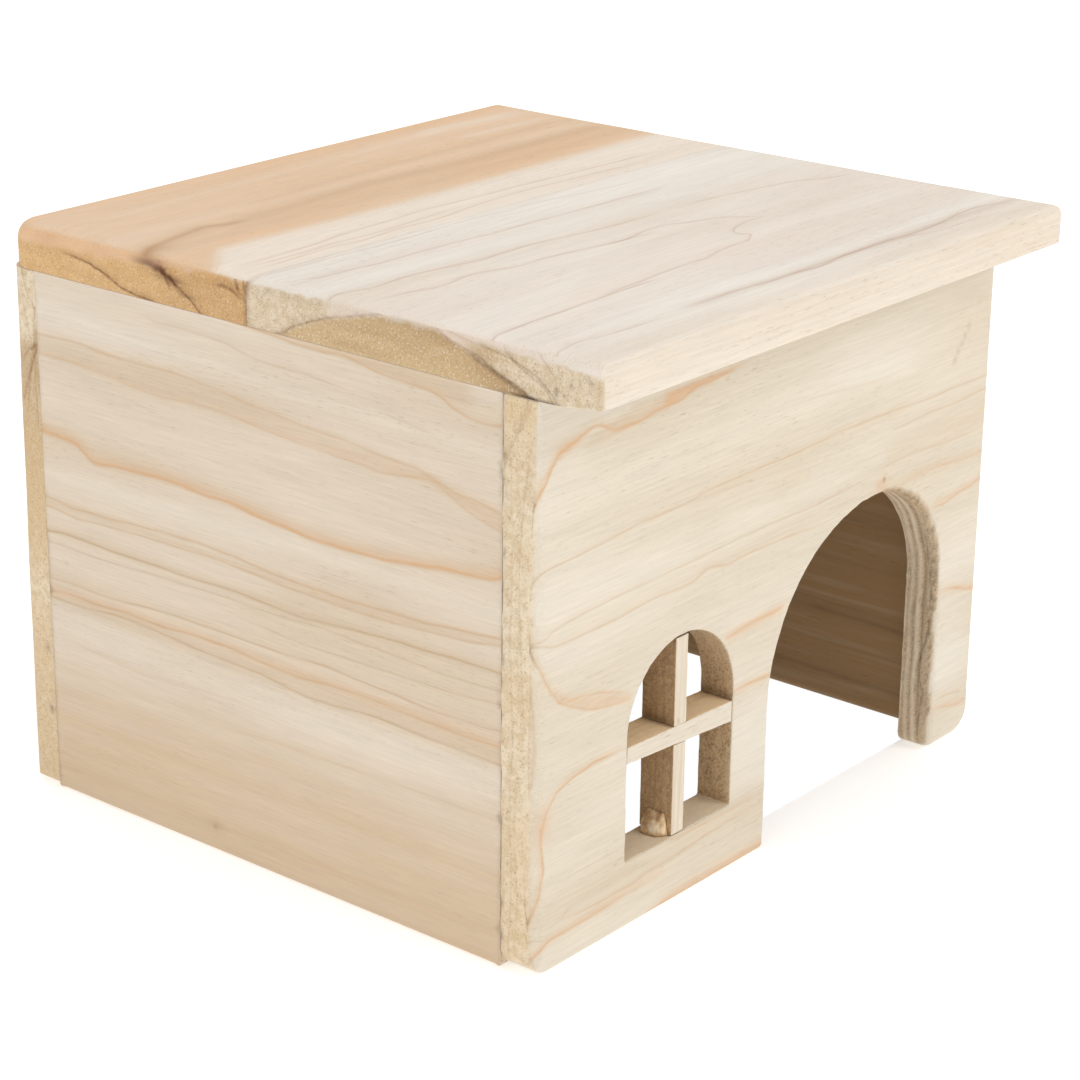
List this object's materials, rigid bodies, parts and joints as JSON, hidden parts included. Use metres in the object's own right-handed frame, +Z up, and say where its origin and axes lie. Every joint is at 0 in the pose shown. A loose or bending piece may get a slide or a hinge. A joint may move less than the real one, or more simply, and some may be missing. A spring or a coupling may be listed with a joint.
{
  "type": "hamster house",
  "caption": "Small box-shaped wooden house with a flat roof that overhangs the front, an arched doorway, an arched window with crossed slats, and an open bottom.",
  "frame": {"origin": "centre of the outline on the plane that the walls stand on", "axes": "+X across the front to the viewer's right when facing the doorway wall from outside, +Y from the doorway wall to the back, +Z up"},
  "size_m": [0.15, 0.15, 0.12],
  "materials": {
    "wall_board": "untreated pale softwood, planed and lightly sanded, matt",
    "roof_dark_board": "untreated softwood heartwood, tan, planed and lightly sanded, matt",
    "roof_pale_board": "untreated pale softwood, planed and lightly sanded, matt",
    "slat": "untreated softwood slat, sawn faces, matt",
    "dried_glue": "dried white wood glue, translucent, satin"
  },
  "bodies": {
    "root": {"front_panel": "wall_board", "back_panel": "wall_board", "left_side_panel": "wall_board", "right_side_panel": "wall_board", "roof_rear_board": "roof_dark_board", "roof_front_board": "roof_pale_board", "window_muntin_vertical": "slat", "window_muntin_horizontal": "slat", "window_glue_bead": "dried_glue"}
  },
  "joints": []
}
